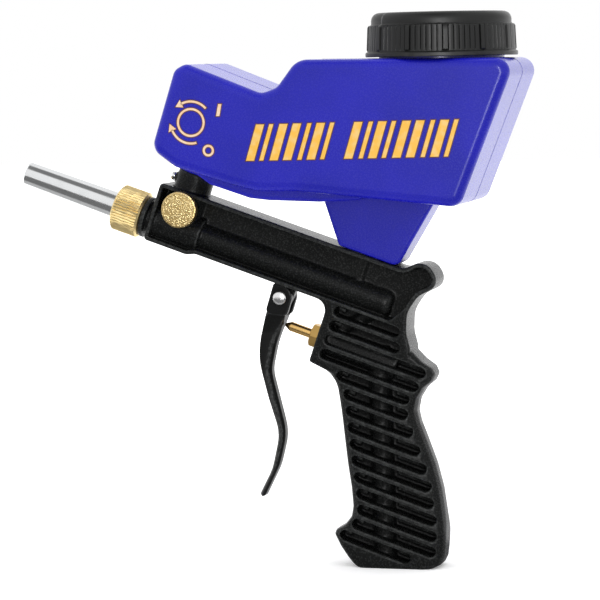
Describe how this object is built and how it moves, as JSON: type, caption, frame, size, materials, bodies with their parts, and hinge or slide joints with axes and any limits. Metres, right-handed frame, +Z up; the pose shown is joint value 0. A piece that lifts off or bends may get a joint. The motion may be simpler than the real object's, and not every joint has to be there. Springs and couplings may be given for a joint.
{
  "type": "sand-blasting gun",
  "caption": "Hand-held gravity-feed sand-blasting gun: black cast pistol body, blue media hopper with a screw cap, brass nozzle nut, steel nozzle, lever trigger and air valve.",
  "frame": {"origin": "centre of the bounding box at the height of the flat end of the grip", "axes": "+Z up along the hopper neck and cap, the nozzle points to -X and up, the brass valve disc faces -Y"},
  "size_m": [0.2998, 0.0866, 0.3183],
  "materials": {
    "cast_black": "fine-grained satin black paint on a die casting",
    "trigger_black": "smooth satin black paint",
    "hopper_blue": "moulded polyethylene, fine grain, soft sheen",
    "cap_black": "moulded matte black plastic",
    "rubber_black": "moulded nitrile rubber",
    "zinc_plated_steel": "bright zinc plating",
    "brass_knurled": "straight fine knurl",
    "brass_disc": "spun face with a fine stipple",
    "brass_turned": "turned and polished",
    "spring_steel": "oiled spring steel",
    "rivet_steel": "bright tumbled rivet head"
  },
  "bodies": {
    "gun": {"gun_body": "cast_black", "hopper": "hopper_blue", "spout_seal": "rubber_black", "spout_clamp_screw": "zinc_plated_steel", "foot_dowel": "spring_steel", "trigger_pin": "rivet_steel", "nozzle_tube": "zinc_plated_steel", "nozzle_seal": "rubber_black", "air_jet": "brass_turned", "air_jet_seal": "rubber_black", "gland_nut": "brass_turned", "valve_spring": "spring_steel"},
    "trigger": {"trigger": "trigger_black"},
    "valve_stem": {"valve_stem": "brass_turned", "valve_washer": "rubber_black"},
    "media_valve": {"media_valve": "brass_disc", "media_valve_seal_near": "rubber_black", "media_valve_seal_far": "rubber_black", "media_valve_clip": "spring_steel"},
    "nozzle_nut": {"nozzle_nut": "brass_knurled"},
    "cap_seal": {"cap_seal": "rubber_black"},
    "hopper_cap": {"hopper_cap": "cap_black"}
  },
  "joints": [
    {"name": "trigger_pull", "type": "hinge", "parent": "gun", "child": "trigger", "pos_m": [0.00783, 0, 0.15581], "axis": [0, -1, 0], "range_deg": [0, 15], "stiffness_Nm_per_rad": 0.8, "springref_deg": -11.46},
    {"name": "valve_stroke", "type": "slide", "parent": "gun", "child": "valve_stem", "axis": [0.9432, 0, -0.3322], "range_m": [0, 0.004], "deforming": ["valve_spring"]},
    {"name": "media_valve_turn", "type": "hinge", "parent": "gun", "child": "media_valve", "pos_m": [-0.04955, 0, 0.2075], "axis": [0, -1, 0], "range_deg": [0, 90]},
    {"name": "nozzle_nut_turn", "type": "hinge", "parent": "gun", "child": "nozzle_nut", "pos_m": [-0.08345, 0, 0.20608], "axis": [0.9432, 0, -0.3322], "continuous": true},
    {"name": "cap_lift", "type": "slide", "parent": "gun", "child": "cap_seal", "axis": [0, 0, 1], "range_m": [0, 0.08]},
    {"name": "cap_turn", "type": "hinge", "parent": "cap_seal", "child": "hopper_cap", "pos_m": [0.1039, 0, 0.3], "axis": [0, 0, 1], "continuous": true}
  ],
  "couplings": [
    {"joint": "valve_stroke", "follows": "trigger_pull", "m_per_rad": 0.015}
  ]
}
